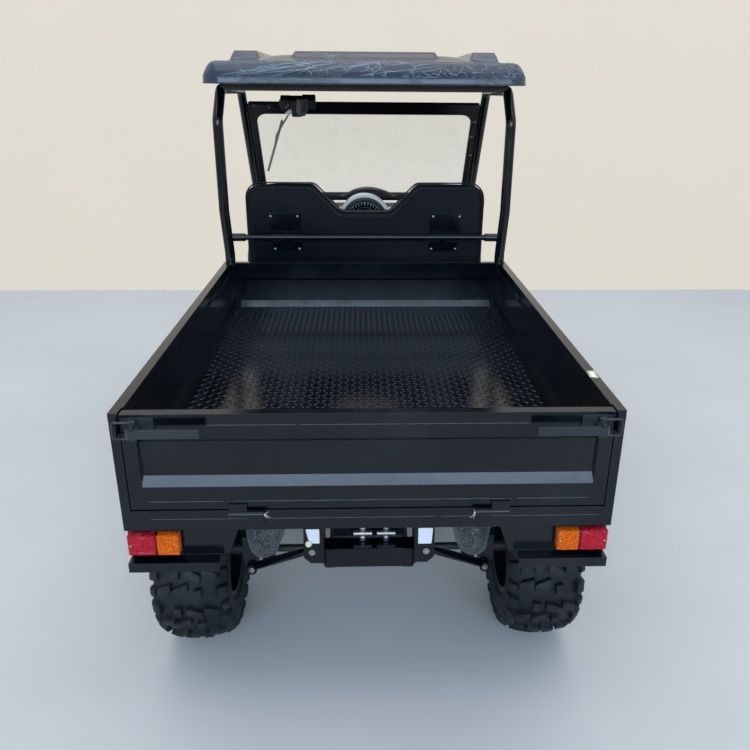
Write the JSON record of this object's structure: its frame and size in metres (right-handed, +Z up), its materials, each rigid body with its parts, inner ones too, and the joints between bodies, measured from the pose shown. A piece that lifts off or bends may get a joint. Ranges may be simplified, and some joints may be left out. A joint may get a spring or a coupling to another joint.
{
  "type": "side by side utility vehicle",
  "caption": "Two-seat utility vehicle with a tilting steel cargo bed, drop tailgate, bench seat, open cab, roof and lugged tyres.",
  "frame": {"origin": "on the ground below the middle of the whole vehicle", "axes": "+Y forward, +X to the right side, +Z up"},
  "size_m": [1.4, 3.34, 1.946],
  "materials": {
    "bed_paint": "high gloss black with a blue cast",
    "frame_paint": "gloss black",
    "chequer_plate": "gloss black chequer plate",
    "latch_paint": "satin black",
    "lamp_red": "ribbed red lens",
    "lamp_amber": "amber lens with round cells",
    "stud_zinc": "bright zinc",
    "lamp_clear": "clear lens",
    "drive_metal": "dark casting",
    "battery_case": "moulded case",
    "shock_steel": "steel damper",
    "shock_wrap": "grey speckled wrap",
    "tyre": "blocky off-road tread",
    "rim_paint": "satin black steel",
    "glass": "clear laminated",
    "roof_plastic": "slate blue grey under wrinkled clear film",
    "seat_vinyl": "black grained vinyl",
    "trim_black": "grained black moulding",
    "pedal_rubber": "ribbed rubber",
    "body_white": "white moulding"
  },
  "bodies": {
    "root": {"battery_pack": "battery_case", "cab_floor": "trim_black", "cab_frame": "frame_paint", "chassis_frame": "frame_paint", "cowl_panels": "trim_black", "crossbar_studs": "stud_zinc", "dashboard": "body_white", "front_arms": "frame_paint", "front_bumper": "frame_paint", "front_fascia": "trim_black", "front_fenders": "trim_black", "front_shocks": "shock_steel", "grab_bar": "frame_paint", "grille": "trim_black", "headlights": "lamp_clear", "hood": "body_white", "instrument_pod": "body_white", "pedals": "pedal_rubber", "rear_arms": "frame_paint", "rear_crossbar": "frame_paint", "rear_knuckles": "drive_metal", "rear_shocks": "shock_steel", "roof_shell": "roof_plastic", "seat_back": "seat_vinyl", "seat_base": "trim_black", "seat_brackets": "frame_paint", "seat_cushion": "seat_vinyl", "shock_sleeves": "shock_wrap", "steering_column": "trim_black", "steering_rack": "drive_metal", "transaxle": "drive_metal", "windshield_frame": "frame_paint", "windshield_glass": "glass", "wiper": "trim_black"},
    "bed": {"bed_sides": "bed_paint", "bed_headboard": "bed_paint", "bed_rear_frame": "bed_paint", "bed_subframe": "frame_paint", "bed_floor": "chequer_plate", "mudguards": "bed_paint", "tail_lamps_red": "lamp_red", "tail_lamps_amber": "lamp_amber"},
    "tailgate": {"tailgate_panel": "bed_paint", "tailgate_latches": "latch_paint"},
    "steer_left": {"knuckle_left": "drive_metal"},
    "steer_right": {"knuckle_right": "drive_metal"},
    "wheel_front_left": {"tyre_front_left": "tyre", "rim_front_left": "rim_paint"},
    "wheel_front_right": {"tyre_front_right": "tyre", "rim_front_right": "rim_paint"},
    "wheel_rear_left": {"tyre_rear_left": "tyre", "rim_rear_left": "rim_paint"},
    "wheel_rear_right": {"tyre_rear_right": "tyre", "rim_rear_right": "rim_paint"},
    "steering_wheel": {"steering_wheel": "trim_black"}
  },
  "joints": [
    {"name": "bed_tilt", "type": "hinge", "parent": "root", "child": "bed", "pos_m": [0, -1.525, 0.63], "axis": [1, 0, 0], "range_deg": [0, 35]},
    {"name": "tailgate_hinge", "type": "hinge", "parent": "bed", "child": "tailgate", "pos_m": [0, -1.637, 0.718], "axis": [1, 0, 0], "range_deg": [0, 180]},
    {"name": "steer_left", "type": "hinge", "parent": "root", "child": "steer_left", "pos_m": [-0.455, 1.135, 0.292], "axis": [0, 0, 1], "range_deg": [-28, 28]},
    {"name": "steer_right", "type": "hinge", "parent": "root", "child": "steer_right", "pos_m": [0.455, 1.135, 0.292], "axis": [0, 0, 1], "range_deg": [-28, 28]},
    {"name": "steering_wheel_turn", "type": "hinge", "parent": "root", "child": "steering_wheel", "pos_m": [-0.33, 0.815, 1.01], "axis": [0, 0.8192, -0.5736], "range_deg": [-336, 336]},
    {"name": "wheel_front_left_spin", "type": "hinge", "parent": "steer_left", "child": "wheel_front_left", "pos_m": [-0.582, 1.135, 0.292], "axis": [1, 0, 0], "continuous": true},
    {"name": "wheel_rear_left_spin", "type": "hinge", "parent": "root", "child": "wheel_rear_left", "pos_m": [-0.57, -1.192, 0.292], "axis": [1, 0, 0], "continuous": true},
    {"name": "wheel_front_right_spin", "type": "hinge", "parent": "steer_right", "child": "wheel_front_right", "pos_m": [0.582, 1.135, 0.292], "axis": [1, 0, 0], "continuous": true},
    {"name": "wheel_rear_right_spin", "type": "hinge", "parent": "root", "child": "wheel_rear_right", "pos_m": [0.57, -1.192, 0.292], "axis": [1, 0, 0], "continuous": true}
  ],
  "couplings": [
    {"joint": "steer_right", "follows": "steer_left", "ratio": 1},
    {"joint": "steering_wheel_turn", "follows": "steer_left", "ratio": -12}
  ]
}
